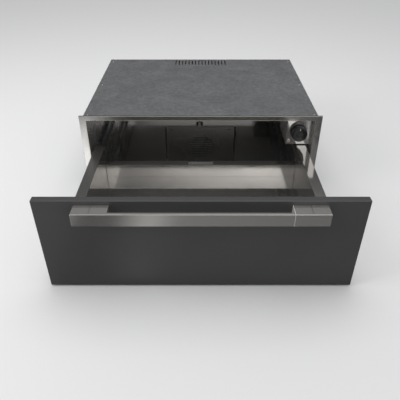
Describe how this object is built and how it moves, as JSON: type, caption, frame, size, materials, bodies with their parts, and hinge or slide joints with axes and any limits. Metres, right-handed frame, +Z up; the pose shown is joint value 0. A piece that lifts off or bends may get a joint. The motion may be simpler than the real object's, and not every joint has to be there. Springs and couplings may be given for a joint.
{
  "type": "built-in warming drawer",
  "caption": "Built-in warming drawer, pulled out on telescopic slides: polished steel pan, dark decor panel with a bar handle, heated fan cavity and thermostat knob.",
  "frame": {"origin": "middle of the casing's underside, where it stands on the cabinet's shelf", "axes": "+X to the viewer's right as seen from the front, +Y into the cabinet, +Z up"},
  "size_m": [0.757, 1.0583, 0.263],
  "materials": {
    "polished_steel": "mirror polished stainless steel",
    "satin_steel": "satin stainless steel",
    "zinc_steel": "galvanised sheet steel",
    "slide_steel": "zinc plated rolled steel",
    "heater_sheath": "oxidised steel tube",
    "dark_lacquer": "matt dark grey lacquered board",
    "black_plastic": "satin black moulding",
    "pale_plastic": "pale moulding",
    "mineral_wool": "fibrous mat",
    "copper_wire": "varnished winding",
    "laminated_iron": "stacked sheet iron",
    "aluminium": "pressed sheet",
    "amber_lens": "clear amber"
  },
  "bodies": {
    "chassis": {"base_tray": "zinc_steel", "side_case_left": "zinc_steel", "side_case_right": "zinc_steel", "top_cover": "zinc_steel", "rear_panel": "zinc_steel", "front_frame": "satin_steel", "liner_floor": "polished_steel", "liner_left": "polished_steel", "liner_right": "polished_steel", "liner_top": "polished_steel", "liner_back": "polished_steel", "insulation_bottom": "mineral_wool", "insulation_top": "mineral_wool", "insulation_left": "mineral_wool", "insulation_right": "mineral_wool", "fan_cover": "satin_steel", "fan_cover_screw_lower_left": "satin_steel", "fan_cover_screw_lower_right": "satin_steel", "fan_cover_screw_upper_left": "satin_steel", "fan_cover_screw_upper_right": "satin_steel", "heater_housing": "zinc_steel", "ring_heater": "heater_sheath", "thermal_cutout": "pale_plastic", "motor_bracket": "zinc_steel", "motor_stator": "laminated_iron", "motor_coil": "copper_wire", "temperature_probe": "satin_steel", "probe_clip": "zinc_steel", "cable_gland": "black_plastic", "gland_nut": "black_plastic", "terminal_block": "pale_plastic", "control_housing": "polished_steel", "control_fascia": "polished_steel", "thermostat": "black_plastic", "thermostat_nut": "zinc_steel", "pilot_lamp_lens": "amber_lens", "pilot_lamp_holder": "pale_plastic", "slide_outer_left": "slide_steel", "slide_outer_right": "slide_steel"},
    "knob": {"control_knob": "black_plastic", "thermostat_shaft": "zinc_steel"},
    "fan": {"fan_impeller": "aluminium", "motor_shaft": "zinc_steel", "impeller_nut": "zinc_steel"},
    "slide_left": {"slide_middle_left": "slide_steel"},
    "slide_right": {"slide_middle_right": "slide_steel"},
    "drawer": {"slide_inner_left": "slide_steel", "slide_inner_right": "slide_steel", "drawer_floor": "polished_steel", "side_channel_left": "polished_steel", "side_channel_right": "polished_steel", "drawer_back": "polished_steel", "drawer_front": "polished_steel", "decor_panel": "dark_lacquer", "panel_carrier": "zinc_steel", "handle_bar": "satin_steel", "handle_end_left": "satin_steel", "handle_end_right": "satin_steel", "handle_screw_left": "zinc_steel", "handle_screw_right": "zinc_steel"}
  },
  "joints": [
    {"name": "drawer_slide", "type": "slide", "parent": "chassis", "child": "drawer", "axis": [0, 1, 0], "range_m": [0, 0.43]},
    {"name": "slide_left_run", "type": "slide", "parent": "chassis", "child": "slide_left", "axis": [0, 1, 0], "range_m": [0, 0.215]},
    {"name": "slide_right_run", "type": "slide", "parent": "chassis", "child": "slide_right", "axis": [0, 1, 0], "range_m": [0, 0.215]},
    {"name": "knob_turn", "type": "hinge", "parent": "chassis", "child": "knob", "pos_m": [0.31, -0.254, 0.193], "axis": [0, 1, 0], "range_deg": [0, 270]},
    {"name": "fan_spin", "type": "hinge", "parent": "chassis", "child": "fan", "pos_m": [0, 0.21, 0.114], "axis": [0, 1, 0], "continuous": true}
  ],
  "couplings": [
    {"joint": "slide_left_run", "follows": "drawer_slide", "ratio": 0.5},
    {"joint": "slide_right_run", "follows": "drawer_slide", "ratio": 0.5}
  ]
}
